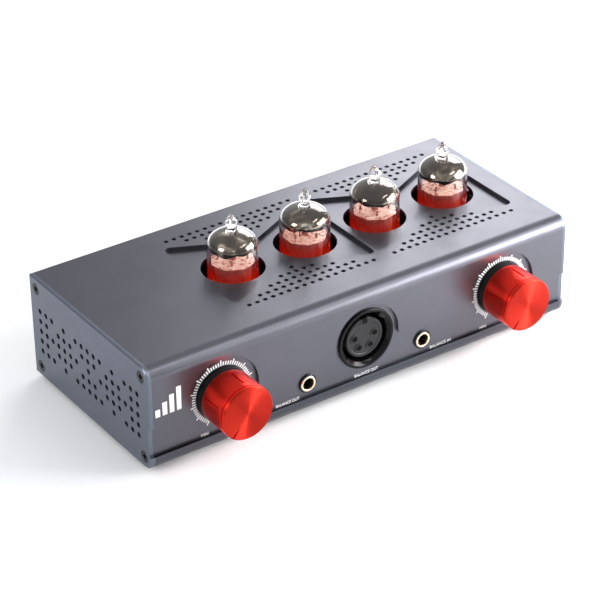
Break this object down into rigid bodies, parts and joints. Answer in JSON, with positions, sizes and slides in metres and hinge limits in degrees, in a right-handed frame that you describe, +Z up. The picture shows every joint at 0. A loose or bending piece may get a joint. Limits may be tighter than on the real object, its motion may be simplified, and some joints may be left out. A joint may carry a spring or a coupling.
{
  "type": "tube preamplifier",
  "caption": "Compact desktop tube preamplifier in a dark extruded case: glass tubes through the top, red volume knobs, a round headphone socket and balanced jacks in front.",
  "frame": {"origin": "centre of the whole object's footprint box, on the surface that the rubber feet stand on", "axes": "+X along the case to the right seen from the front, +Y towards the rear panel, +Z up"},
  "size_m": [0.185, 0.111, 0.065],
  "materials": {
    "shell_finish": "satin anodised, dark slate grey",
    "base_finish": "satin anodised, dark slate grey",
    "plate_finish": "bead-blasted and anodised, mid blue-grey",
    "black_steel": "black oxide",
    "brass": "bright",
    "bright_steel": "nickel plated",
    "foot_rubber": "matt",
    "circuit_board": "solder mask",
    "capacitor_sleeve": "printed sleeve",
    "relay_case": "moulded",
    "heat_sink": "plain",
    "tube_glass": "clear blown glass, silvery at the top",
    "tube_metal": "dull nickel",
    "socket_black": "moulded",
    "lamp": "glowing",
    "knob_red": "spun, red anodised",
    "black_plastic": "moulded",
    "connector_black": "black, semi-gloss",
    "insert_grey": "moulded",
    "gold": "gilt",
    "latch_metal": "satin nickel",
    "switch_blue": "moulded"
  },
  "bodies": {
    "case": {"top_shell": "shell_finish", "base_plate": "base_finish", "rear_panel": "base_finish", "end_plate_left": "plate_finish", "end_plate_right": "plate_finish", "end_plate_screws": "black_steel", "base_screws": "black_steel", "board_standoffs": "brass", "board_screws": "bright_steel", "rubber_feet": "foot_rubber", "main_board": "circuit_board", "filter_capacitors": "capacitor_sleeve", "relays": "relay_case", "regulators": "heat_sink", "tube_glass_1": "tube_glass", "tube_glass_2": "tube_glass", "tube_glass_3": "tube_glass", "tube_glass_4": "tube_glass", "tube_cage_1": "tube_metal", "tube_cage_2": "tube_metal", "tube_cage_3": "tube_metal", "tube_cage_4": "tube_metal", "tube_pins": "tube_metal", "tube_sockets": "socket_black", "tube_lamps": "lamp", "pot_left": "bright_steel", "pot_right": "bright_steel", "pot_nuts": "bright_steel", "phones_xlr_shell": "connector_black", "phones_xlr_insert": "insert_grey", "jack_body_left": "black_plastic", "jack_body_right": "black_plastic", "jack_bush_left": "gold", "jack_bush_right": "gold", "jack_nuts": "connector_black", "line_in_shell_left": "connector_black", "line_in_shell_right": "connector_black", "line_in_inserts": "insert_grey", "xlr_contacts": "gold", "line_out_shell_left": "connector_black", "line_out_shell_right": "connector_black", "line_out_pins": "gold", "rear_screws": "black_steel", "toggle_body": "switch_blue", "toggle_nut": "bright_steel", "dc_inlet": "black_plastic", "dc_pin": "bright_steel"},
    "left_volume": {"knob_left": "knob_red", "knob_skirt_left": "black_plastic", "set_screw_left": "black_steel", "pot_shaft_left": "bright_steel"},
    "right_volume": {"knob_right": "knob_red", "knob_skirt_right": "black_plastic", "set_screw_right": "black_steel", "pot_shaft_right": "bright_steel"},
    "power_lever": {"toggle_lever": "bright_steel"},
    "phones_latch": {"phones_xlr_latch": "black_plastic"},
    "left_input_latch": {"line_in_latch_left": "latch_metal"},
    "right_input_latch": {"line_in_latch_right": "latch_metal"}
  },
  "joints": [
    {"name": "left_volume_turn", "type": "hinge", "parent": "case", "child": "left_volume", "pos_m": [-0.062, -0.03851, 0.0236], "axis": [0, 1, 0], "range_deg": [-10, 290]},
    {"name": "right_volume_turn", "type": "hinge", "parent": "case", "child": "right_volume", "pos_m": [0.062, -0.03851, 0.0236], "axis": [0, 1, 0], "range_deg": [-10, 290]},
    {"name": "power_lever_swing", "type": "hinge", "parent": "case", "child": "power_lever", "pos_m": [0.012, 0.04559, 0.023], "axis": [1, 0, 0], "range_deg": [0, 24]},
    {"name": "phones_latch_press", "type": "slide", "parent": "case", "child": "phones_latch", "axis": [0, 1, 0], "range_m": [0, 0.0012], "stiffness_N_per_m": 400},
    {"name": "left_input_latch_press", "type": "slide", "parent": "case", "child": "left_input_latch", "axis": [0, -1, 0], "range_m": [0, 0.0012], "stiffness_N_per_m": 400},
    {"name": "right_input_latch_press", "type": "slide", "parent": "case", "child": "right_input_latch", "axis": [0, -1, 0], "range_m": [0, 0.0012], "stiffness_N_per_m": 400}
  ]
}
